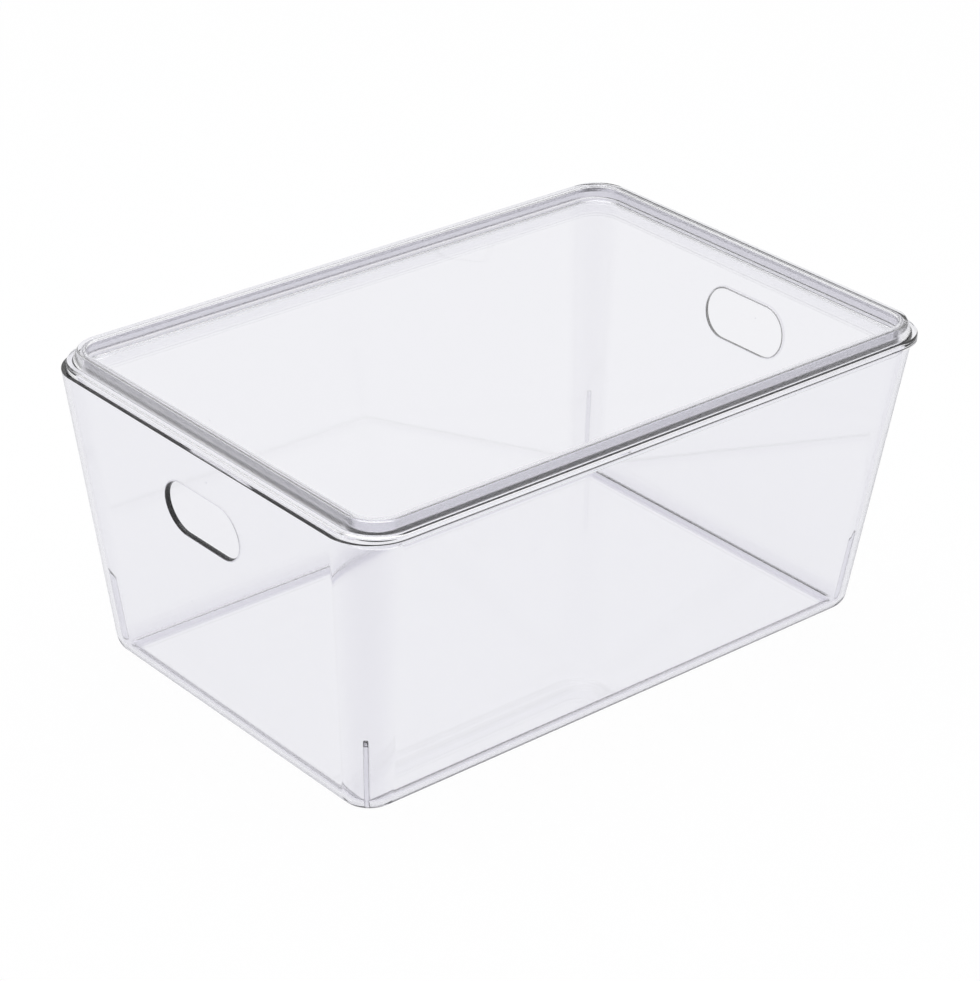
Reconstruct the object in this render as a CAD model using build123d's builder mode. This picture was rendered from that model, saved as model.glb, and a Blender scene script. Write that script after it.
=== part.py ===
from build123d import *
import os
from math import sqrt

# A clear moulded storage bin with a loose stacking lid.
# Millimetres, +Z up. The origin is on the ground, under the middle of the bin.
# X runs along the bin, Y across it; the handle slots are in the two short ends.

# Bin: outside sizes of the drafted shell
rim_length = 400.0
rim_width = 275.0
base_length = 361.5
base_width = 232.5
bin_height = 173.5
rim_corner_radius = 26.0
base_corner_radius = 19.0
base_edge_radius = 9.0

# Bin: thicknesses and the eased edges of the mouth
wall = 2.8
floor_thickness = 3.0
mouth_edge_radius = 0.5

# Foot: the middle of the floor, stepped down below the base; its upper outline measured in from the base's
foot_height = 3.3
foot_slope_run = 3.5
foot_inset_along = 9.7
foot_inset_across = 12.0
foot_corner_radius = 4.0
foot_edge_radius = 2.5
foot_shoulder_radius = 1.6

# Handle slots: rounded openings through both short ends, their upper edge a drop below the mouth
slot_length = 62.0
slot_height = 30.0
slot_drop = 25.0
slot_outer_edge_radius = 1.5
slot_inner_edge_radius = 0.5

# Nesting fins: upright plates in the four lower corners, each sloping up to the wall at its top
fin_height = 52.5
fin_projection = 4.4
fin_thickness = 2.6
fin_slope_drop = 7.5
fin_slope_blend = 2.5
fin_edge_radius = 0.7

# Lid: the fit in the mouth, and how far the lid is pushed over within its play
lid_play = 3.1
push_along_share = 0.64
push_across_share = 0.64

# Lid: heights above the bin's top face
flange_height = 4.2
rim_height = 10.4
panel_height = 0.9
panel_thickness = 2.2
lip_depth = 5.0
channel_shoulder_height = 1.8

# Lid: places along its section, measured in from the outer edge
rim_foot_inset = 3.3
rim_outer_inset = 6.2
rim_inner_inset = 10.8
recess_foot_inset = 11.4

# Lid: thin walls under the raised rim, and eased edges
lip_thickness = 1.5
recess_wall = 1.6
channel_roof = 1.8
channel_width = 1.0
flange_edge_radius = 1.2
rim_edge_radius = 0.9
recess_foot_radius = 1.5
lip_edge_radius = 0.5

# How far a cutting shape runs past the face that it opens
overrun = 2.0


# The drafted walls stand on the foot
shell_height = bin_height - foot_height


def shell_section(height, inset=0.0):
    """Length, width and corner radius of the bin's outline at a height, moved in by an inset."""
    rise = (height - foot_height) / shell_height
    length = base_length + (rim_length - base_length) * rise
    width = base_width + (rim_width - base_width) * rise
    radius = base_corner_radius + (rim_corner_radius - base_corner_radius) * rise
    return length - 2 * inset, width - 2 * inset, radius - inset


def corner_lean(rise):
    """How far the outer corner moves out along its diagonal over a rise in height."""
    growth = rim_corner_radius - base_corner_radius
    along = (rim_length - base_length) / 2 - growth
    across = (rim_width - base_width) / 2 - growth
    return ((along + across) / sqrt(2) + growth) * rise / shell_height


# The foot, a shallow block with sloping sides
foot_length = base_length - 2 * foot_inset_along
foot_width = base_width - 2 * foot_inset_across
with BuildPart() as foot:
    with BuildSketch():
        RectangleRounded(
            foot_length - 2 * foot_slope_run,
            foot_width - 2 * foot_slope_run,
            foot_corner_radius,
        )
    with BuildSketch(Plane.XY.offset(foot_height)):
        RectangleRounded(foot_length, foot_width, foot_corner_radius)
    loft()
    fillet(foot.faces().sort_by(Axis.Z)[0].edges(), foot_edge_radius)

def shoulder(solid):
    """Edges where a joined foot meets the flat ledge above it, the second level face from below."""
    ledge = solid.faces().filter_by(Axis.Z).sort_by(Axis.Z)[1]
    return ledge.inner_wires()[0].edges()


# The outer shell as a solid, with its lower edge rounded, standing on the foot
with BuildPart() as shell:
    with BuildSketch(Plane.XY.offset(foot_height)):
        RectangleRounded(*shell_section(foot_height))
    with BuildSketch(Plane.XY.offset(bin_height)):
        RectangleRounded(*shell_section(bin_height))
    loft()
    fillet(shell.faces().sort_by(Axis.Z)[0].edges(), base_edge_radius)
    add(foot.part)
    fillet(shoulder(shell), foot_shoulder_radius)

# The space inside, open past the top; its floor repeats the foot, one floor thickness higher
ledge_height = foot_height + floor_thickness
cavity_top = bin_height + overrun
with BuildPart() as cavity:
    with BuildSketch(Plane.XY.offset(ledge_height)):
        RectangleRounded(*shell_section(ledge_height, wall))
    with BuildSketch(Plane.XY.offset(cavity_top)):
        RectangleRounded(*shell_section(cavity_top, wall))
    loft()
    fillet(cavity.faces().sort_by(Axis.Z)[0].edges(), base_edge_radius - wall)
    with Locations((0, 0, floor_thickness)):
        add(foot.part)
    fillet(shoulder(cavity), foot_shoulder_radius)

# One fin on the diagonal of a lower corner, its inner edge in line with the wall, mirrored to all four.
# Its section is drawn as distance from the corner's centre and height.
corner_x = base_length / 2 - base_corner_radius
corner_y = base_width / 2 - base_corner_radius
fin_plane = Plane(origin=(corner_x, corner_y, 0), x_dir=(1, 1, 0), z_dir=(1, -1, 0))
fin_foot = base_corner_radius - wall - fin_projection
fin_shoulder_height = fin_height - fin_slope_drop
fin_shoulder = fin_foot + corner_lean(fin_shoulder_height - foot_height)
corner_at_fin_top = base_corner_radius + corner_lean(fin_height - foot_height)
with BuildPart() as fins:
    with BuildSketch(fin_plane):
        with BuildLine():
            FilletPolyline(
                (fin_foot, foot_height),
                (fin_shoulder, fin_shoulder_height),
                (corner_at_fin_top - wall, fin_height),
                (corner_at_fin_top, fin_height),
                (base_corner_radius, foot_height),
                radius=(0, fin_slope_blend, 0, 0, 0),
                close=True,
            )
        make_face()
    extrude(amount=fin_thickness / 2, both=True)
    fillet(fins.faces().filter_by(fin_plane).edges(), fin_edge_radius)
    mirror(about=Plane.XZ)
    mirror(about=Plane.YZ)
    add(shell.part, mode=Mode.INTERSECT)

# The bin: shell less its inside and the two slots, with the fins standing in its corners
slot_centre_height = bin_height - slot_drop - slot_height / 2
with BuildPart() as storage_bin:
    add(shell.part)
    add(cavity.part, mode=Mode.SUBTRACT)
    fillet(storage_bin.faces().sort_by(Axis.Z)[-1].edges(), mouth_edge_radius)
    with BuildSketch(Plane.YZ):
        with Locations((0, slot_centre_height)):
            SlotOverall(slot_length, slot_height)
    extrude(amount=rim_length, both=True, mode=Mode.SUBTRACT)
    pierced_walls = storage_bin.faces().filter_by(lambda face: len(face.inner_wires()) == 1)
    pierced_walls = pierced_walls.filter_by(lambda face: abs(face.normal_at().X) > abs(face.normal_at().Z))
    slot_walls = pierced_walls.sort_by(Axis.X)
    outer_outlines = slot_walls[0].inner_wires()[0].edges() + slot_walls[-1].inner_wires()[0].edges()
    inner_outlines = slot_walls[1].inner_wires()[0].edges() + slot_walls[-2].inner_wires()[0].edges()
    fillet(outer_outlines, slot_outer_edge_radius)
    fillet(inner_outlines, slot_inner_edge_radius)
    add(fins.part)

storage_bin.part.label = "bin"

# Where the lid rests: on the bin's top face, pushed towards +X and -Y within its play
lid_seat = Plane(origin=(lid_play * push_along_share, -lid_play * push_across_share, bin_height))

# The lid's edge section: corners as inset from the outer edge and height above the seat, with their
# rounding. The lip leans in as it goes down, as much as the bin's corners do over the same height.
lip_outer_inset = wall + lid_play
lip_inner_inset = lip_outer_inset + lip_thickness
lip_lean = corner_lean(lip_depth)
channel_inner_inset = rim_inner_inset - recess_wall
channel_outer_inset = channel_inner_inset - channel_width
channel_top = rim_height - channel_roof
panel_underside = panel_height - panel_thickness
panel_join_inset = recess_foot_inset + 2 * recess_foot_radius
lid_corners = {
    (0, 0): 0,
    (0, flange_height): flange_edge_radius,
    (rim_foot_inset, flange_height): 0,
    (rim_outer_inset, rim_height): rim_edge_radius,
    (rim_inner_inset, rim_height): rim_edge_radius,
    (recess_foot_inset, panel_height): recess_foot_radius,
    (panel_join_inset, panel_height): 0,
    (panel_join_inset, panel_underside): 0,
    (channel_inner_inset, panel_underside): 0,
    (channel_inner_inset, channel_top): 0,
    (channel_outer_inset, channel_top): 0,
    (lip_inner_inset, channel_shoulder_height): 0,
    (lip_inner_inset + lip_lean, -lip_depth): lip_edge_radius,
    (lip_outer_inset + lip_lean, -lip_depth): lip_edge_radius,
    (lip_outer_inset, 0): 0,
}

# The lid's outer edge, which the section follows
with BuildLine(lid_seat) as lid_edge:
    FilletPolyline(
        (-rim_length / 2, -rim_width / 2),
        (rim_length / 2, -rim_width / 2),
        (rim_length / 2, rim_width / 2),
        (-rim_length / 2, rim_width / 2),
        radius=rim_corner_radius,
        close=True,
    )
lid_path = lid_edge.wire()
path_direction = lid_path % 0
section_plane = Plane(
    origin=lid_path @ 0,
    x_dir=Vector(0, 0, 1).cross(path_direction),
    z_dir=path_direction,
)

with BuildPart() as lid:
    with BuildSketch(section_plane):
        with BuildLine():
            FilletPolyline(*lid_corners, radius=lid_corners.values(), close=True)
        make_face()
    sweep(path=lid_path)
    with BuildSketch(lid_seat.offset(panel_underside)):
        RectangleRounded(
            rim_length - 2 * recess_foot_inset,
            rim_width - 2 * recess_foot_inset,
            rim_corner_radius - recess_foot_inset,
        )
    extrude(amount=panel_thickness)

lid.part.label = "lid"

os.makedirs("parts", exist_ok=True)
export_step(storage_bin.part, "parts/bin.step")
export_step(lid.part, "parts/lid.step")
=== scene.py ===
"""Builds and dresses a clear moulded storage bin and its loose lid, on a pale studio floor."""

import logging
import math
from dataclasses import dataclass, field
from enum import Enum

import bmesh
import bpy
from mathutils import Matrix, Vector
from mathutils.geometry import tessellate_polygon


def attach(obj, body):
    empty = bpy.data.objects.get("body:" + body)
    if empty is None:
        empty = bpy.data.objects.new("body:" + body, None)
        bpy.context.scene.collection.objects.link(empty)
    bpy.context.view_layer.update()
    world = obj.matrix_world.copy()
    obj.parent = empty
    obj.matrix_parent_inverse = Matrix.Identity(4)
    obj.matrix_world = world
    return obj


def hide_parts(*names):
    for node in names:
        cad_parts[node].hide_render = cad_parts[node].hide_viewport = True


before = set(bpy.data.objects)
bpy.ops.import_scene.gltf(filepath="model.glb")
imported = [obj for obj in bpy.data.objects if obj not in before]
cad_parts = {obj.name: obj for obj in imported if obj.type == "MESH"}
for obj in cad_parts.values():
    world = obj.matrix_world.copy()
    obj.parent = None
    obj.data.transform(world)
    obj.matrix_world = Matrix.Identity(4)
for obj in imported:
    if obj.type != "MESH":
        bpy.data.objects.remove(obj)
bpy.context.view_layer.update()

MM = 0.001
PHOTO_WIDTH_PX = 980
CORNER_STEPS = 36
CREASE_DEG = 24.0
UP = Vector((0, 0, 1))
LOG = logging.getLogger("storage_bin")
# A Mix node's sockets for colour, whose names it repeats for each of its data types
MIX_FACTOR, MIX_FIRST, MIX_SECOND, MIX_RESULT = 0, 6, 7, 2
# A closed loop's point numbers with their normals, and a ring's points with their outward directions
Loop = tuple[list[int], list[Vector]]
Walk = list[tuple[Vector, Vector]]


def linear_colour(hex_colour: str) -> tuple[float, float, float, float]:
    """Turns an sRGB hex colour into the linear colour that shaders take.

    Args:
        hex_colour: six hex digits, such as "E9E8ED".

    Returns:
        Linear red, green and blue, with an alpha of one.
    """
    channels = [int(hex_colour[i:i + 2], 16) / 255 for i in (0, 2, 4)]
    red, green, blue = [c / 12.92 if c <= 0.04045 else ((c + 0.055) / 1.055) ** 2.4 for c in channels]
    return red, green, blue, 1.0


def add_node(tree: bpy.types.NodeTree, kind: str, settings: dict | None = None,
             links: dict | None = None) -> bpy.types.Node:
    """Adds one node to a tree, with its settings, socket values and incoming links.

    Args:
        tree: the node tree that takes the node.
        kind: the node's type name.
        settings: attribute names, or input socket names or numbers, to their values.
        links: input socket names or numbers to the output sockets that feed them.

    Returns:
        The new node.
    """
    node = tree.nodes.new(kind)
    for key, value in (settings or {}).items():
        if isinstance(key, str) and key in type(node).bl_rna.properties:
            setattr(node, key, value)
        else:
            node.inputs[key].default_value = value
    for key, source in (links or {}).items():
        tree.links.new(source, node.inputs[key])
    return node


class End(Enum):
    """The two short ends of the bin, as the way that each one faces along X."""

    LEFT = -1
    RIGHT = 1


@dataclass(frozen=True)
class Row:
    """One level outline of a moulding, a rounded rectangle at a height, in millimetres.

    The ease is the radius that rounds the section there, and satin is how unpolished the surface is
    from there to the next row, and how much painted shade greys it, from zero to one.
    """

    half_length: float
    half_width: float
    corner: float
    height: float
    ease: float = 0.0
    satin_and_shade: float = 0.0

    def numbers(self) -> Vector:
        """The four sizes as one vector."""
        return Vector((self.half_length, self.half_width, self.corner, self.height))

    def flat(self) -> Vector:
        """The row's place on a section drawn midway between the long and the short side."""
        return Vector(((self.half_length + self.half_width) / 2, self.height))


def eased(rows: list[Row], steps: int = 7) -> list[Row]:
    """Rounds a section at each row that has an ease.

    Args:
        rows: the section's corners in order; the two ends stay sharp.
        steps: faces to each rounded corner.

    Returns:
        The section's rows with each eased corner replaced by an arc.
    """
    result = [rows[0]]
    for before, row, after in zip(rows, rows[1:], rows[2:]):
        back, ahead = before.flat() - row.flat(), after.flat() - row.flat()
        half_angle = back.angle(ahead) / 2
        if row.ease <= 0:
            result.append(row)
            continue
        to_centre = row.ease / math.sin(half_angle)
        for step in range(steps + 1):
            turn = (math.pi / 2 - half_angle) * (2 * step / steps - 1)
            # The arc's point on the corner's bisector and beside it, then as runs along the two edges
            along = (to_centre - row.ease * math.cos(turn)) / (2 * math.cos(half_angle))
            aside = row.ease * math.sin(turn) / (2 * math.sin(half_angle))
            sizes = (row.numbers()
                     + (before.numbers() - row.numbers()) * ((along - aside) / back.length)
                     + (after.numbers() - row.numbers()) * ((along + aside) / ahead.length))
            result.append(Row(*sizes, satin_and_shade=before.satin_and_shade + (row.satin_and_shade - before.satin_and_shade) * step / steps))
    result.append(rows[-1])
    return result


@dataclass
class Moulding:
    """A mesh in the making: points in millimetres, and faces with a normal for each corner."""

    points: list[Vector] = field(default_factory=list)
    faces: list[tuple[int, ...]] = field(default_factory=list)
    normals: list[Vector] = field(default_factory=list)
    # How unpolished each face is, and how much painted shade greys it
    satins_and_shades: list[float] = field(default_factory=list)

    def add_points(self, points: list[Vector]) -> list[int]:
        """Adds points and gives their numbers.

        Args:
            points: places in millimetres.

        Returns:
            One number for each point.
        """
        first = len(self.points)
        self.points.extend(points)
        return list(range(first, len(self.points)))

    def add_face(self, corners: list[int], normals: list[Vector], satin_and_shade: float = 0.0) -> None:
        """Adds one face.

        Args:
            corners: point numbers, anticlockwise seen from outside.
            normals: the surface's normal at each corner.
            satin_and_shade: how unpolished the face is, and how much painted shade greys it, from zero
                to one.
        """
        self.faces.append(tuple(corners))
        self.normals.extend(normals)
        self.satins_and_shades.append(satin_and_shade)

    def add_band(self, first: Loop, second: Loop, satin_and_shade: float, flip: bool = False) -> None:
        """Joins two closed loops of points with a band of faces.

        Args:
            first: the first loop's point numbers and normals.
            second: the second loop's, as many.
            satin_and_shade: how unpolished the faces are, and how much painted shade greys them, from
                zero to one.
            flip: turns the faces over.
        """
        for place in range(len(first[0])):
            following = (place + 1) % len(first[0])
            corners = [first[0][place], second[0][place], second[0][following], first[0][following]]
            normals = [first[1][place], second[1][place], second[1][following], first[1][following]]
            if flip:
                corners, normals = corners[::-1], normals[::-1]
            self.add_face(corners, normals, satin_and_shade)

    def finish(self, name: str, material: bpy.types.Material) -> bpy.types.Object:
        """Makes the mesh object, in metres, with the surface's own normals.

        Args:
            name: the object's name.
            material: its material.

        Returns:
            The new object.
        """
        mesh = bpy.data.meshes.new(name)
        mesh.from_pydata([point * MM for point in self.points], [], self.faces)
        mesh.shade_smooth()
        mesh.normals_split_custom_set([normal.normalized() for normal in self.normals])
        # The mask of unpolished faces, which the material also greys with painted shade
        satin_and_shade = mesh.attributes.new("satin_and_shade", "FLOAT", "FACE")
        satin_and_shade.data.foreach_set("value", self.satins_and_shades)
        mesh.materials.append(material)
        piece = bpy.data.objects.new(name, mesh)
        bpy.context.scene.collection.objects.link(piece)
        return piece


def corner_tree() -> bpy.types.NodeTree:
    """Makes a Geometry Nodes tree that sets a plate in each corner of a rectangle.

    Each plate's X axis points away from the rectangle's middle, along the corner's diagonal.

    Returns:
        The tree, with the rectangle's two spans and the material as inputs beside the plate.
    """
    tree = bpy.data.node_groups.new("plates in four corners", "GeometryNodeTree")
    for name, kind in (("Geometry", "NodeSocketGeometry"), ("Span Along", "NodeSocketFloat"),
                       ("Span Across", "NodeSocketFloat"), ("Material", "NodeSocketMaterial")):
        tree.interface.new_socket(name=name, in_out="INPUT", socket_type=kind)
    tree.interface.new_socket(name="Geometry", in_out="OUTPUT", socket_type="NodeSocketGeometry")
    given = add_node(tree, "NodeGroupInput").outputs
    corners = add_node(tree, "GeometryNodeMeshGrid", {"Vertices X": 2, "Vertices Y": 2},
                       {"Size X": given["Span Along"], "Size Y": given["Span Across"]})
    place = add_node(tree, "ShaderNodeSeparateXYZ", None,
                     {0: add_node(tree, "GeometryNodeInputPosition").outputs["Position"]})
    sides = [add_node(tree, "ShaderNodeMath", {"operation": "SIGN"}, {0: place.outputs[axis]})
             for axis in "YX"]
    heading = add_node(tree, "ShaderNodeMath", {"operation": "ARCTAN2"},
                       {0: sides[0].outputs[0], 1: sides[1].outputs[0]})
    turn = add_node(tree, "ShaderNodeCombineXYZ", None, {"Z": heading.outputs[0]})
    plates = add_node(tree, "GeometryNodeInstanceOnPoints", None, {
        "Points": corners.outputs["Mesh"],
        "Instance": given["Geometry"],
        "Rotation": turn.outputs["Vector"],
    })
    real = add_node(tree, "GeometryNodeRealizeInstances", None,
                    {"Geometry": plates.outputs["Instances"]})
    dressed = add_node(tree, "GeometryNodeSetMaterial", None,
                       {"Geometry": real.outputs["Geometry"], "Material": given["Material"]})
    add_node(tree, "NodeGroupOutput", None, {"Geometry": dressed.outputs["Geometry"]})
    return tree


def run_tree(piece: bpy.types.Object, tree: bpy.types.NodeTree, values: dict) -> None:
    """Replaces a piece's mesh with what a Geometry Nodes tree makes of it.

    Args:
        piece: the object that the tree takes its geometry from.
        tree: the tree.
        values: the tree's input names to their values.
    """
    modifier = piece.modifiers.new(tree.name, "NODES")
    modifier.node_group = tree
    for socket in tree.interface.items_tree:
        if socket.in_out == "INPUT" and socket.name in values:
            modifier[socket.identifier] = values[socket.name]
    graph = bpy.context.evaluated_depsgraph_get()
    mesh = bpy.data.meshes.new_from_object(piece.evaluated_get(graph), preserve_all_data_layers=True,
                                           depsgraph=graph)
    piece.modifiers.remove(modifier)
    piece.data = mesh


def ring(row: Row) -> Walk:
    """Walks once round a row's rounded rectangle, anticlockwise from above.

    Args:
        row: the outline.

    Returns:
        Each point with its outward direction in plan.
    """
    walk = []
    for quarter, (sign_x, sign_y) in enumerate(((1, 1), (-1, 1), (-1, -1), (1, -1))):
        centre = Vector((sign_x * (row.half_length - row.corner),
                         sign_y * (row.half_width - row.corner), row.height))
        for step in range(CORNER_STEPS + 1):
            angle = math.pi / 2 * (quarter + step / CORNER_STEPS)
            outward = Vector((math.cos(angle), math.sin(angle), 0))
            walk.append((centre + outward * row.corner, outward))
    return walk


@dataclass
class RingSkin:
    """A closed skin through level rings, from the underside's middle, out and over, to the top's middle.

    The bands named in openings keep no face on the flats of the two short ends. The corners of each
    face left out are kept there instead. These bands may also be less polished round the corners, and
    greyed there with painted shade.
    """

    moulding: Moulding
    rows: list[Row]
    shift: Vector
    openings: dict[int, dict[End, list[int]]] = field(default_factory=dict)
    corner_satin_and_shade: float = 0.0

    def build(self) -> None:
        """Adds the skin's faces."""
        walks = [ring(row) for row in self.rows]
        numbers = [self.moulding.add_points([point + self.shift for point, _ in walk])
                   for walk in walks]
        count = len(walks[0])
        flats = {count - 1: End.RIGHT, count // 2 - 1: End.LEFT}
        for band in range(len(self.rows) - 1):
            lower, upper = self._normals(walks, band, band), self._normals(walks, band + 1, band)
            for place in range(count):
                following = (place + 1) % count
                corners = [numbers[band][place], numbers[band][following],
                           numbers[band + 1][following], numbers[band + 1][place]]
                if band in self.openings and place in flats:
                    self.openings[band][flats[place]] = corners
                else:
                    normals = [lower[place], lower[following], upper[following], upper[place]]
                    satin_and_shade = self.rows[band].satin_and_shade
                    step = place % (CORNER_STEPS + 1)
                    # Round the corners of these bands the faces are less polished and greyed with
                    # painted shade
                    if band in self.openings and step < CORNER_STEPS:
                        satin_and_shade += self.corner_satin_and_shade * math.sin(math.pi * (step + 0.5) / CORNER_STEPS)
                    self.moulding.add_face(corners, normals, satin_and_shade)
        self.moulding.add_face(numbers[0][::-1], [-UP] * count)
        self.moulding.add_face(numbers[-1], [UP] * count)

    def _normals(self, walks: list[Walk], level: int, band: int) -> list[Vector]:
        """The normals along one ring, as the band above or below it sees them.

        Args:
            walks: every ring's points and outward directions.
            level: the ring.
            band: the band of faces, numbered by its lower ring.

        Returns:
            One normal for each of the ring's points.
        """
        bands = [band]
        if 0 < level < len(walks) - 1:
            below = self.rows[level].flat() - self.rows[level - 1].flat()
            above = self.rows[level + 1].flat() - self.rows[level].flat()
            if below.angle(above) < math.radians(CREASE_DEG):
                bands = [level - 1, level]
        result = []
        for place, (_, outward) in enumerate(walks[level]):
            # The longer band counts for more, so that a flat stays flat up to the arc that it runs into
            steps = [walks[other + 1][place][0] - walks[other][place][0] for other in bands]
            run = sum((step * step.length_squared for step in steps), Vector((0, 0, 0)))
            result.append(Vector((-outward.y, outward.x, 0)).cross(run).normalized())
        return result


@dataclass(frozen=True)
class ClearAcrylic:
    """Clear acrylic (PMMA), injection moulded and polished by its steel mould.

    To the eye it is a faintly lavender, glass-like gloss: the flats stay almost invisible, and the
    edges gather grey and white lines. Broad flow waves from the mould bend what is seen through it
    a little, and a few specks of dust and rubs show on the flats. Steps and tight corners, which the
    mould's polish does not reach, are unpolished and softer, and greyed with painted shade. Real rubs
    are hairlines, too fine to show in the render, so they are drawn as streaks as wide as
    rub_spacing_mm.
    """

    name: str
    tint: str = "FDFDFE"
    shadow_tint: str = "E8E7EC"
    ior: float = 1.49
    gloss_roughness: float = 0.012
    rub_roughness: float = 0.05
    flow_wave_mm: float = 70.0
    flow_height_mm: float = 0.015
    flow_detail: float = 1.0
    rub_spacing_mm: float = 9.0
    rub_stretch: float = 9.0
    rub_range: tuple[float, float] = (0.68, 0.8)
    rub_detail: float = 4.0
    rub_breakup: float = 0.7
    speck_spacing_mm: float = 34.0
    speck_radius_share: float = 0.016
    speck_core_share: float = 0.6
    speck_colour: str = "C4C2CC"
    # Painted shade: the grey that the unpolished steps, recesses and corners take
    painted_shade_tint: str = "DAD8E2"
    satin_roughness: float = 0.3

    def build(self) -> bpy.types.Material:
        """Makes the material.

        Returns:
            The node material.
        """
        material = bpy.data.materials.new(self.name)
        material.use_nodes = True
        tree = material.node_tree
        tree.nodes.clear()
        place = add_node(tree, "ShaderNodeTexCoord").outputs["Object"]
        gloss = add_node(tree, "ShaderNodeBsdfPrincipled", {
            "IOR": self.ior,
            "Transmission Weight": 1.0,
        }, {
            "Base Color": self._colour(tree, place),
            "Roughness": self._roughness(tree, place),
            "Normal": self._flow(tree, place),
        })
        lamp_light = add_node(tree, "ShaderNodeBsdfTransparent",
                              {"Color": linear_colour(self.shadow_tint)})
        rays = add_node(tree, "ShaderNodeLightPath")
        mixed = add_node(tree, "ShaderNodeMixShader", None, {
            0: rays.outputs["Is Shadow Ray"],
            1: gloss.outputs["BSDF"],
            2: lamp_light.outputs["BSDF"],
        })
        add_node(tree, "ShaderNodeOutputMaterial", None, {"Surface": mixed.outputs["Shader"]})
        return material

    def _specks(self, tree: bpy.types.NodeTree, place: bpy.types.NodeSocket) -> bpy.types.NodeSocket:
        """Sparse round specks of dust.

        Args:
            tree: the material's tree.
            place: the object-space position.

        Returns:
            A mask, one inside a speck and zero elsewhere.
        """
        cells = add_node(tree, "ShaderNodeTexVoronoi", {
            "Scale": 1 / (self.speck_spacing_mm * MM),
            "Randomness": 1.0,
        }, {"Vector": place})
        mask = add_node(tree, "ShaderNodeMapRange", {
            "From Min": self.speck_radius_share,
            "From Max": self.speck_radius_share * self.speck_core_share,
        }, {"Value": cells.outputs["Distance"]})
        return mask.outputs["Result"]

    def _colour(self, tree: bpy.types.NodeTree, place: bpy.types.NodeSocket) -> bpy.types.NodeSocket:
        """The plastic's faint tint, with the specks a little darker, and the unpolished faces greyed by
        painted shade.

        Args:
            tree: the material's tree.
            place: the object-space position.

        Returns:
            The colour socket.
        """
        specked = add_node(tree, "ShaderNodeMix", {
            "data_type": "RGBA",
            MIX_FIRST: linear_colour(self.tint),
            MIX_SECOND: linear_colour(self.speck_colour),
        }, {MIX_FACTOR: self._specks(tree, place)})
        # Painted shade: the unpolished faces are greyed as far as the mesh's mask says
        satin_and_shade = add_node(tree, "ShaderNodeMix", {
            "data_type": "RGBA",
            MIX_SECOND: linear_colour(self.painted_shade_tint),
        }, {MIX_FACTOR: self._satin_and_shade(tree), MIX_FIRST: specked.outputs[MIX_RESULT]})
        return satin_and_shade.outputs[MIX_RESULT]

    def _satin_and_shade(self, tree: bpy.types.NodeTree) -> bpy.types.NodeSocket:
        """How unpolished the surface is, and how much shade is painted on it, as the mesh's own faces
        say.
        """
        return add_node(tree, "ShaderNodeAttribute", {"attribute_name": "satin_and_shade"}).outputs["Fac"]

    def _roughness(self, tree: bpy.types.NodeTree, place: bpy.types.NodeSocket) -> bpy.types.NodeSocket:
        """Polished gloss with rubs streaked along X, and rougher where the faces are unpolished.

        Args:
            tree: the material's tree.
            place: the object-space position.

        Returns:
            The roughness socket.
        """
        stretch = (1.0, self.rub_stretch, self.rub_stretch)
        streaks = add_node(tree, "ShaderNodeMapping", {"Scale": stretch}, {"Vector": place})
        rubs = add_node(tree, "ShaderNodeTexNoise", {
            "Scale": 1 / (self.rub_spacing_mm * MM * self.rub_stretch),
            "Detail": self.rub_detail,
            "Roughness": self.rub_breakup,
        }, {"Vector": streaks.outputs["Vector"]})
        spread = add_node(tree, "ShaderNodeMapRange", {
            "From Min": self.rub_range[0],
            "From Max": self.rub_range[1],
            "To Min": self.gloss_roughness,
            "To Max": self.rub_roughness,
        }, {"Value": rubs.outputs["Fac"]})
        satin_and_shade = add_node(tree, "ShaderNodeMath", {"operation": "MULTIPLY_ADD", 1: self.satin_roughness},
                         {0: self._satin_and_shade(tree), 2: spread.outputs["Result"]})
        return satin_and_shade.outputs["Value"]

    def _flow(self, tree: bpy.types.NodeTree, place: bpy.types.NodeSocket) -> bpy.types.NodeSocket:
        """Broad, shallow waves left by the plastic's flow into the mould.

        Args:
            tree: the material's tree.
            place: the object-space position.

        Returns:
            The normal socket.
        """
        waves = add_node(tree, "ShaderNodeTexNoise", {
            "Scale": 1 / (self.flow_wave_mm * MM),
            "Detail": self.flow_detail,
        }, {"Vector": place})
        bump = add_node(tree, "ShaderNodeBump", {
            "Strength": 1.0,
            "Distance": self.flow_height_mm * MM,
        }, {"Height": waves.outputs["Fac"]})
        return bump.outputs["Normal"]


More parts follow.
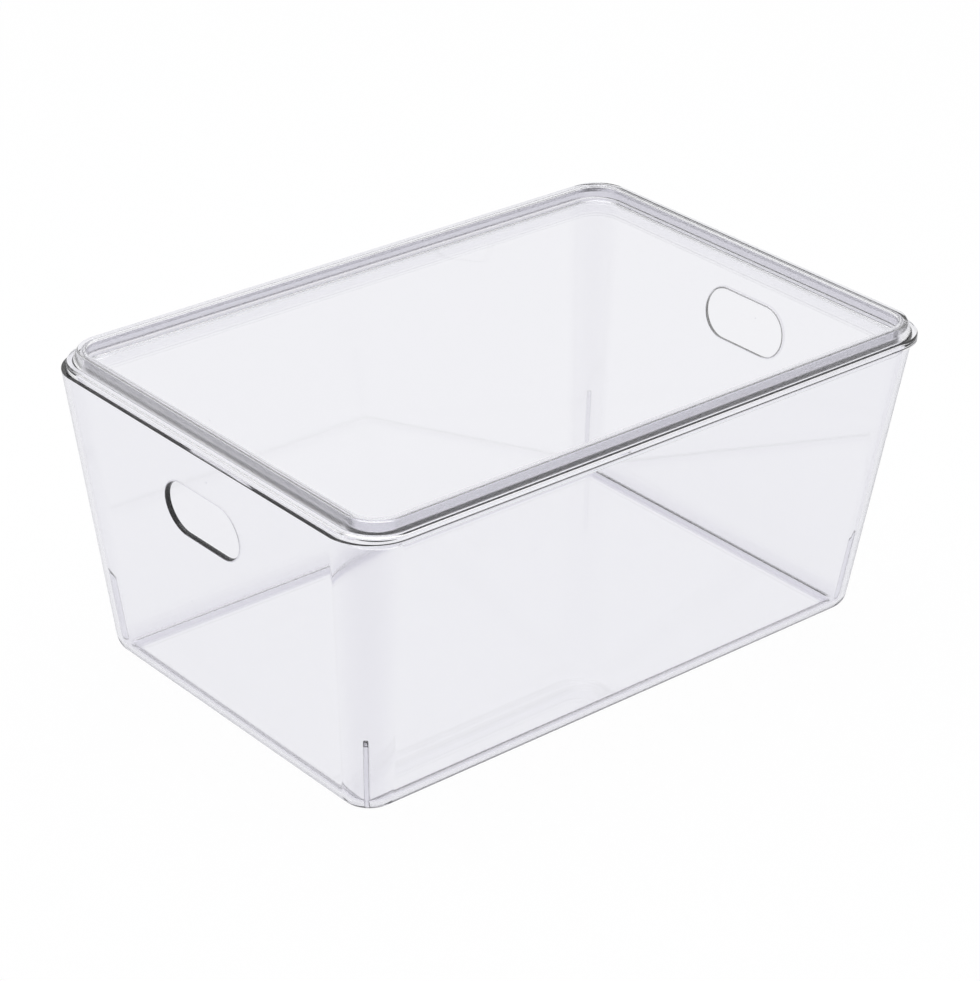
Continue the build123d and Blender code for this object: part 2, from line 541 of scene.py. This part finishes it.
@dataclass
class StorageBin:
    """The drafted bin: a shell on a stepped foot, with two handle slots, and fins in its corners.

    Sizes are in millimetres, and rim, base and foot are half length, half width and corner radius. They
    are the solid's own, but the foot and its shoulder are rounded more, as the photographed ones are.
    The values named satin say how unpolished the surface is, and how much painted shade greys it,
    from zero to one.
    """

    finish: ClearAcrylic
    # The shell
    rim: tuple[float, float, float] = (200.0, 137.5, 26.0)
    base: tuple[float, float, float] = (180.75, 116.25, 19.0)
    height: float = 173.5
    wall: float = 2.8
    floor: float = 3.0
    base_ease: float = 9.0
    mouth_ease: float = 0.5
    # The stepped foot, and how far in from it the floor's one flat face starts
    foot: tuple[float, float, float] = (171.05, 104.25, 4.0)
    foot_height: float = 3.3
    foot_run: float = 3.5
    middle_inset: float = 10.0
    foot_ease: float = 4.2
    shoulder_ease: float = 3.6
    # The handle slots, whose eases are the outer and the inner edge's
    slot_half_length: float = 31.0
    slot_half_height: float = 15.0
    slot_centre: float = 133.5
    slot_eases: tuple[float, float] = (1.5, 0.5)
    slot_steps: int = 6
    # The nesting fins, sunk into the wall and the floor by their root
    fin_height: float = 52.5
    fin_slope_drop: float = 7.5
    fin_blend: float = 2.5
    fin_projection: float = 4.4
    fin_half_thickness: float = 1.3
    fin_ease: float = 0.7
    fin_steps: int = 5
    fin_tuck: float = 0.8
    fin_root: float = 0.4
    fin_root_steps: tuple[int, int] = (2, 9)
    # How unpolished each part is, and how much painted shade greys it
    foot_satin_and_shade: float = 0.9
    ledge_satin_and_shade: float = 0.45
    mouth_satin_and_shade: float = 0.1
    corner_satin_and_shade: float = 0.2
    slot_satin_and_shade: float = 0.8
    fin_satin_and_shade: float = 0.35

    def build(self) -> list[bpy.types.Object]:
        """Builds the bin and its fins and gives them their moulded acrylic.

        Returns:
            The objects that stand for the CAD node.
        """
        moulding = Moulding()
        rows = eased(self._rows())
        outer, inner = [band for band, (low, high) in enumerate(zip(rows, rows[1:]))
                        if abs(high.height - low.height) > self.height / 2]
        skin = RingSkin(moulding, rows, Vector((0, 0, 0)), {outer: {}, inner: {}}, self.corner_satin_and_shade)
        skin.build()
        for end in End:
            self._pierce(moulding, end, skin.openings[outer][end], skin.openings[inner][end])
        material = self.finish.build()
        pieces = [moulding.finish("bin_moulding", material), self._fins(material)]
        for piece in pieces:
            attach(piece, "bin")
            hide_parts("bin")
        return pieces

    def _lean(self, size: int) -> float:
        """How far one of the outline's three sizes grows for each millimetre of height."""
        return (self.rim[size] - self.base[size]) / (self.height - self.foot_height)

    def _wall_row(self, height: float, inset: float = 0.0, ease: float = 0.0,
                  satin_and_shade: float = 0.0) -> Row:
        """The drafted shell's outline.

        Args:
            height: its height above the ground.
            inset: how far it is moved in.
            ease: the radius that rounds the section there.
            satin_and_shade: how unpolished the surface from there on is, and how much painted shade
                greys it.

        Returns:
            The outline as a row.
        """
        rise = height - self.foot_height
        sizes = [self.base[size] + self._lean(size) * rise - inset for size in range(3)]
        return Row(*sizes, height, ease, satin_and_shade)

    def _foot_row(self, share: float, lift: float, ease: float, satin_and_shade: float = 0.0,
                  inset: float = 0.0) -> Row:
        """The foot's outline.

        Args:
            share: where on the foot's height, from zero at the ground to one at the ledge.
            lift: how far it is raised, by the floor's thickness for the inside.
            ease: the radius that rounds the section there.
            satin_and_shade: how unpolished the surface from there on is, and how much painted shade
                greys it.
            inset: how far the outline is moved in.

        Returns:
            The outline as a row.
        """
        run = self.foot_run * (1 - share) + inset
        height = self.foot_height * share + lift
        return Row(self.foot[0] - run, self.foot[1] - run, self.foot[2], height, ease, satin_and_shade)

    def _rows(self) -> list[Row]:
        """The shell's section, from under the foot, over the mouth and down to the inside floor.

        Returns:
            The section's corners in order.
        """
        ledge = self.foot_height + self.floor
        return [
            self._foot_row(0, 0, 0, inset=self.middle_inset),
            self._foot_row(0, 0, self.foot_ease, self.foot_satin_and_shade),
            self._foot_row(1, 0, self.shoulder_ease, self.ledge_satin_and_shade),
            self._wall_row(self.foot_height, 0, self.base_ease),
            self._wall_row(self.height, 0, self.mouth_ease, self.mouth_satin_and_shade),
            self._wall_row(self.height, self.wall, self.mouth_ease),
            self._wall_row(ledge, self.wall, self.base_ease - self.wall, self.ledge_satin_and_shade),
            self._foot_row(1, self.floor, self.shoulder_ease, self.foot_satin_and_shade),
            self._foot_row(0, self.floor, self.foot_ease),
            self._foot_row(0, self.floor, 0, inset=self.middle_inset),
        ]

    def _slot_outline(self, growth: float) -> list[tuple[float, float, Vector]]:
        """The slot's outline on the end wall.

        Args:
            growth: how far it is moved out.

        Returns:
            Each point's place across, its height and its outward direction.
        """
        outline = []
        reach = self.slot_half_length - self.slot_half_height
        radius = self.slot_half_height + growth
        for side, start in ((1, -math.pi / 2), (-1, math.pi / 2)):
            for step in range(CORNER_STEPS + 1):
                angle = start + math.pi * step / CORNER_STEPS
                outward = Vector((0, math.cos(angle), math.sin(angle)))
                outline.append((side * reach + outward.y * radius,
                                self.slot_centre + outward.z * radius, outward))
        return outline

    def _pierce(self, moulding: Moulding, end: End, outer: list[int], inner: list[int]) -> None:
        """Fills an end's two wall faces round the slot, and lines the slot with its eased tunnel.

        Args:
            moulding: the mesh in the making.
            end: which end is pierced.
            outer: the four corners of the outer wall's face.
            inner: the four corners of the inner wall's face.
        """
        facing = Vector((end.value, 0, -self._lean(0))).normalized()
        turns = [math.pi / 2 * step / self.slot_steps for step in range(self.slot_steps + 1)]
        outer_ease, inner_ease = self.slot_eases
        stations = ([(turn, outer_ease, 1) for turn in turns]
                    + [(turn, inner_ease, -1) for turn in turns[::-1]])
        loops = []
        for turn, ease, way in stations:
            from_face = ease * (1 - math.cos(turn))
            depth = from_face if way > 0 else self.wall - from_face
            points, normals = [], []
            for across, height, outward in self._slot_outline(ease * (1 - math.sin(turn))):
                face = self.base[0] + self._lean(0) * (height - self.foot_height)
                points.append(Vector((end.value * (face - depth), across, height)))
                normals.append(facing * (way * math.cos(turn)) - outward * math.sin(turn))
            loops.append((moulding.add_points(points), normals))
        for first, second in zip(loops, loops[1:]):
            moulding.add_band(first, second, self.slot_satin_and_shade, flip=end is End.RIGHT)
        for border, hole, normal in ((outer, loops[0][0], facing), (inner, loops[-1][0], -facing)):
            shapes = [[moulding.points[number] for number in part] for part in (border, hole)]
            for triangle in tessellate_polygon(shapes):
                corners = [(border + hole)[place] for place in triangle]
                first, second, third = (moulding.points[number] for number in corners)
                if (second - first).cross(third - first).dot(normal) < 0:
                    corners.reverse()
                moulding.add_face(corners, [normal] * 3)

    def _fin_outline(self) -> list[Vector]:
        """One fin's section along the corner's diagonal, with its root sunk a little into the wall.

        Returns:
            The section's points, as distance from the corner's centre and height.
        """
        lean = (self._lean(0) + self._lean(1) - 2 * self._lean(2)) / math.sqrt(2) + self._lean(2)
        draft = math.atan(lean)
        ledge = self.foot_height + self.floor
        inside = self.base[2] - self.wall
        ease = self.base_ease - self.wall
        root = inside + lean * self.floor + self.fin_root
        centre = root + ease * math.tan(draft) - ease / math.cos(draft)

        def corner(distance: float, height: float, rounding: float = 0.0) -> Row:
            """One corner of the section."""
            return Row(distance, distance, 0, height, rounding)

        edge = inside - self.fin_projection
        shoulder = self.fin_height - self.fin_slope_drop
        corners = [
            corner(edge + lean * (shoulder - self.foot_height), shoulder, self.fin_blend),
            corner(edge + lean * self.floor, ledge, self.fin_tuck),
        ]
        first_step, last_step = self.fin_root_steps
        for step in range(first_step, last_step + 1):
            turn = (math.pi / 2 - draft) * step / last_step
            corners.append(corner(centre + ease * math.sin(turn),
                                  ledge - self.fin_root + ease * (1 - math.cos(turn))))
        top = inside + lean * (self.fin_height - self.foot_height)
        corners.append(corner(top + self.fin_root, self.fin_height, self.fin_tuck))
        rounded = eased([corners[-1]] + corners + corners[:1], self.fin_steps)
        return [row.flat() for row in rounded[1:-1]]

    def _fins(self, material: bpy.types.Material) -> bpy.types.Object:
        """Makes one fin, a rounded plate rooted in the wall, and sets it in each corner.

        Args:
            material: the bin's acrylic.

        Returns:
            The four fins as one object.
        """
        moulding = Moulding()
        outline = self._fin_outline()
        diagonal, side = Vector((1, 0, 0)), Vector((0, 1, 0))
        ways = []
        for place, point in enumerate(outline):
            before, after = outline[place - 1], outline[(place + 1) % len(outline)]
            run = (point - before).normalized() + (after - point).normalized()
            ways.append(Vector((run.y, -run.x)).normalized())
        turns = [math.pi / 2 * step / self.fin_steps for step in range(self.fin_steps + 1)]
        loops = []
        for half, turn in [(-1, turn) for turn in turns] + [(1, turn) for turn in turns[::-1]]:
            inset = self.fin_ease * (1 - math.sin(turn))
            offset = half * (self.fin_half_thickness - self.fin_ease * (1 - math.cos(turn)))
            points, normals = [], []
            for point, way in zip(outline, ways):
                place = point - way * inset
                points.append(diagonal * place.x + UP * place.y + side * offset)
                normals.append((diagonal * way.x + UP * way.y) * math.sin(turn)
                               + side * (half * math.cos(turn)))
            loops.append((moulding.add_points(points), normals))
        for first, second in zip(loops, loops[1:]):
            moulding.add_band(first, second, self.fin_satin_and_shade)
        moulding.add_face(loops[0][0], [-side] * len(outline), self.fin_satin_and_shade)
        moulding.add_face(loops[-1][0][::-1], [side] * len(outline), self.fin_satin_and_shade)
        fins = moulding.finish("nesting_fins", material)
        along, across = (2 * (self.base[size] - self.base[2]) * MM for size in range(2))
        run_tree(fins, corner_tree(),
                 {"Span Along": along, "Span Across": across, "Material": material})
        return fins


@dataclass
class StackingLid:
    """The loose lid: a panel sunk inside a raised rim, with a flange outside and a lip below.

    Outer is half length, half width and corner radius. The values named inset are measured in from the
    outer edge, and the heights up from the bin's mouth, in millimetres.
    """

    finish: ClearAcrylic
    outer: tuple[float, float, float] = (200.0, 137.5, 26.0)
    seat: tuple[float, float, float] = (1.984, -1.984, 173.5)
    # The flange, the raised rim from its outer foot to its inner one, and the sunk panel
    flange_height: float = 4.2
    rim_height: float = 10.4
    rim_insets: tuple[float, float, float, float] = (3.3, 6.2, 10.8, 11.4)
    panel_height: float = 0.9
    panel_thickness: float = 2.2
    panel_inset: float = 17.2
    # The lip, and the channel under the rim
    lip_depth: float = 5.0
    lip_inset: float = 5.9
    lip_thickness: float = 1.5
    lip_lean: float = 0.756
    recess_wall: float = 1.6
    channel_roof: float = 1.8
    channel_width: float = 1.0
    channel_shoulder: float = 1.8
    # The radii that round the section, with fine for the edges that are almost sharp
    flange_ease: float = 1.2
    rim_ease: float = 0.9
    recess_ease: float = 1.5
    lip_ease: float = 0.5
    fine: float = 0.25
    # How unpolished the channel is, and how much painted shade greys it, from zero to one
    channel_satin_and_shade: float = 0.65

    def build(self) -> bpy.types.Object:
        """Builds the lid and gives it its moulded acrylic.

        Returns:
            The lid's object, which stands for the CAD node.
        """
        moulding = Moulding()
        RingSkin(moulding, eased(self._rows()), Vector(self.seat)).build()
        piece = moulding.finish("lid_moulding", self.finish.build())
        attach(piece, "lid")
        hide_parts("lid")
        return piece

    def _rows(self) -> list[Row]:
        """The lid's section, from under the panel, round the lip, flange and rim, to the panel's top.

        Returns:
            The section's corners in order.
        """
        fine, satin_and_shade = self.fine, self.channel_satin_and_shade
        under, top = self.panel_height - self.panel_thickness, self.panel_height
        foot_outer, rim_outer, rim_inner, foot_inner = self.rim_insets
        channel_inner, channel_top = rim_inner - self.recess_wall, self.rim_height - self.channel_roof
        lip_inner = self.lip_inset + self.lip_thickness
        section = (
            (self.panel_inset, under, 0, 0),
            (channel_inner, under, fine, satin_and_shade),
            (channel_inner, channel_top, fine, satin_and_shade),
            (channel_inner - self.channel_width, channel_top, fine, satin_and_shade),
            (lip_inner, self.channel_shoulder, fine, 0),
            (lip_inner + self.lip_lean, -self.lip_depth, self.lip_ease, 0),
            (self.lip_inset + self.lip_lean, -self.lip_depth, self.lip_ease, 0),
            (self.lip_inset, 0, fine, 0),
            (0, 0, fine, 0),
            (0, self.flange_height, self.flange_ease, 0),
            (foot_outer, self.flange_height, fine, 0),
            (rim_outer, self.rim_height, self.rim_ease, 0),
            (rim_inner, self.rim_height, self.rim_ease, 0),
            (foot_inner, top, self.recess_ease, 0),
            (self.panel_inset, top, 0, 0),
        )
        length, width, corner = self.outer
        # The last column roughens a face and greys it with painted shade
        return [Row(length - inset, width - inset, corner - inset, height, ease, unpolished)
                for inset, height, ease, unpolished in section]


@dataclass
class Studio:
    """Plain pale floor, a soft surround with bright sides and a dim one, and one soft lamp.

    The surround's bands are placed by how far they face the dim side, from minus one, opposite it, to
    one, straight at it. The values named share say how much of the plain colour such rays see.
    """

    floor_radius: float = 4.0
    floor_segments: int = 96
    floor_drop_mm: float = 0.3
    floor_lit: str = "EDEDEF"
    seen_share: float = 0.97
    floor_through: str = "F0F0F3"
    through_share: float = 0.93
    bands: tuple[tuple[float, str], ...] = (
        (-0.9, "F4F3F8"), (-0.35, "FFFFFF"), (0.3, "FFFFFF"), (0.7, "5E5C70"),
    )
    dim_azimuth_deg: float = -41.0
    lamp_place: tuple[float, float, float] = (0, 0.2, 1.5)
    lamp_size: float = 1.2
    lamp_power: float = 9.0

    def build(self) -> None:
        """Makes the floor, the world and the lamp."""
        self._floor()
        self._world()
        self._lamp()

    def _floor(self) -> None:
        """Makes the floor disc, white where seen, pale through acrylic, and darkened by shadow."""
        mesh = bpy.data.meshes.new("floor")
        shape = bmesh.new()
        bmesh.ops.create_circle(shape, cap_ends=True, segments=self.floor_segments,
                                radius=self.floor_radius,
                                matrix=Matrix.Translation((0, 0, -self.floor_drop_mm * MM)))
        shape.to_mesh(mesh)
        shape.free()
        floor = bpy.data.objects.new("floor", mesh)
        bpy.context.scene.collection.objects.link(floor)
        # Matt paint: even and pale to the eye, without a gleam, so that only the shadow marks it
        material = bpy.data.materials.new("painted studio floor")
        material.use_nodes = True
        tree = material.node_tree
        tree.nodes.clear()
        matt = add_node(tree, "ShaderNodeBsdfDiffuse", {"Color": linear_colour(self.floor_lit)})
        white = add_node(tree, "ShaderNodeEmission", {"Color": (1, 1, 1, 1), "Strength": 1.0})
        pale = add_node(tree, "ShaderNodeEmission",
                        {"Color": linear_colour(self.floor_through), "Strength": 1.0})
        rays = add_node(tree, "ShaderNodeLightPath")
        shader = matt.outputs["BSDF"]
        bent = add_node(tree, "ShaderNodeMath", {"operation": "MAXIMUM"}, {
            0: rays.outputs["Is Glossy Ray"],
            1: rays.outputs["Is Transmission Ray"],
        })
        for seen, share, plain in ((bent.outputs["Value"], self.through_share, pale),
                                   (rays.outputs["Is Camera Ray"], self.seen_share, white)):
            factor = add_node(tree, "ShaderNodeMath", {"operation": "MULTIPLY", 1: share}, {0: seen})
            mixed = add_node(tree, "ShaderNodeMixShader", None,
                             {0: factor.outputs["Value"], 1: shader, 2: plain.outputs["Emission"]})
            shader = mixed.outputs["Shader"]
        add_node(tree, "ShaderNodeOutputMaterial", None, {"Surface": shader})
        mesh.materials.append(material)

    def _world(self) -> None:
        """Makes the surround, plain white where seen directly, in gloss or through acrylic."""
        world = bpy.data.worlds.new("studio surround")
        bpy.context.scene.world = world
        world.use_nodes = True
        tree = world.node_tree
        tree.nodes.clear()
        direction = add_node(tree, "ShaderNodeTexCoord").outputs["Generated"]
        azimuth = math.radians(self.dim_azimuth_deg)
        towards = (math.sin(azimuth), -math.cos(azimuth), 0)
        facing = add_node(tree, "ShaderNodeVectorMath", {"operation": "DOT_PRODUCT", 1: towards},
                          {0: direction})
        share = add_node(tree, "ShaderNodeMapRange", {"From Min": -1.0, "From Max": 1.0},
                         {"Value": facing.outputs["Value"]})
        ramp = add_node(tree, "ShaderNodeValToRGB", None, {"Fac": share.outputs["Result"]})
        stops = ramp.color_ramp.elements
        while len(stops) < len(self.bands):
            stops.new(1.0)
        for stop, (facing_dim, colour) in zip(stops, self.bands):
            stop.position, stop.color = (facing_dim + 1) / 2, linear_colour(colour)
        background = add_node(tree, "ShaderNodeBackground", {"Strength": 1.0},
                              {"Color": ramp.outputs["Color"]})
        white = add_node(tree, "ShaderNodeBackground", {"Color": (1, 1, 1, 1), "Strength": 1.0})
        rays = add_node(tree, "ShaderNodeLightPath")
        seen = rays.outputs["Is Camera Ray"]
        for kind in ("Is Glossy Ray", "Is Transmission Ray"):
            seen = add_node(tree, "ShaderNodeMath", {"operation": "MAXIMUM"},
                            {0: seen, 1: rays.outputs[kind]}).outputs["Value"]
        mixed = add_node(tree, "ShaderNodeMixShader", None, {
            0: seen,
            1: background.outputs["Background"],
            2: white.outputs["Background"],
        })
        add_node(tree, "ShaderNodeOutputWorld", None, {"Surface": mixed.outputs["Shader"]})

    def _lamp(self) -> None:
        """Hangs one soft lamp panel over the bin."""
        lamp = bpy.data.lights.new("overhead panel", "AREA")
        lamp.size = self.lamp_size
        lamp.energy = self.lamp_power
        holder = bpy.data.objects.new("overhead panel", lamp)
        holder.location = self.lamp_place
        bpy.context.scene.collection.objects.link(holder)


@dataclass
class PhotoCamera:
    """The camera at the photograph's viewing angle."""

    focal_px: float = 3182.2
    azimuth_deg: float = -41.03
    elevation_deg: float = 27.72
    roll_deg: float = 1.27
    distance: float = 1.7685
    target_mm: tuple[float, float, float] = (1.3, 1.5, 86.3)
    sensor_mm: float = 36.0
    clip_start: float = 0.01

    def build(self) -> None:
        """Makes the camera and gives it to the scene."""
        azimuth, elevation, roll = (math.radians(a) for a in (
            self.azimuth_deg, self.elevation_deg, self.roll_deg))
        back = Vector((math.sin(azimuth) * math.cos(elevation),
                       -math.cos(azimuth) * math.cos(elevation), math.sin(elevation)))
        level_right = Vector((math.cos(azimuth), math.sin(azimuth), 0))
        level_up = back.cross(level_right)
        right = level_right * math.cos(roll) + level_up * math.sin(roll)
        up = level_up * math.cos(roll) - level_right * math.sin(roll)
        lens = bpy.data.cameras.new("camera")
        lens.sensor_fit = "HORIZONTAL"
        lens.sensor_width = self.sensor_mm
        lens.lens = self.focal_px / PHOTO_WIDTH_PX * self.sensor_mm
        lens.clip_start = self.clip_start
        camera = bpy.data.objects.new("camera", lens)
        turn = Matrix((right, up, back)).transposed().to_4x4()
        place = Vector(self.target_mm) * MM + back * self.distance
        camera.matrix_world = Matrix.Translation(place) @ turn
        bpy.context.scene.collection.objects.link(camera)
        bpy.context.scene.camera = camera


def main() -> None:
    """Builds the camera, the pieces and the studio in order."""
    logging.basicConfig(level=logging.INFO, format="%(message)s")
    scene = bpy.context.scene
    scene.view_settings.view_transform = "Standard"
    PhotoCamera().build()
    pieces = StorageBin(ClearAcrylic("injection moulded clear acrylic, bin")).build()
    pieces.append(StackingLid(ClearAcrylic("injection moulded clear acrylic, lid")).build())
    for piece in pieces:
        LOG.info("%s: %d faces in %s", piece.name, len(piece.data.polygons), piece.active_material.name)
    Studio().build()


if __name__ == "__main__":
    main()
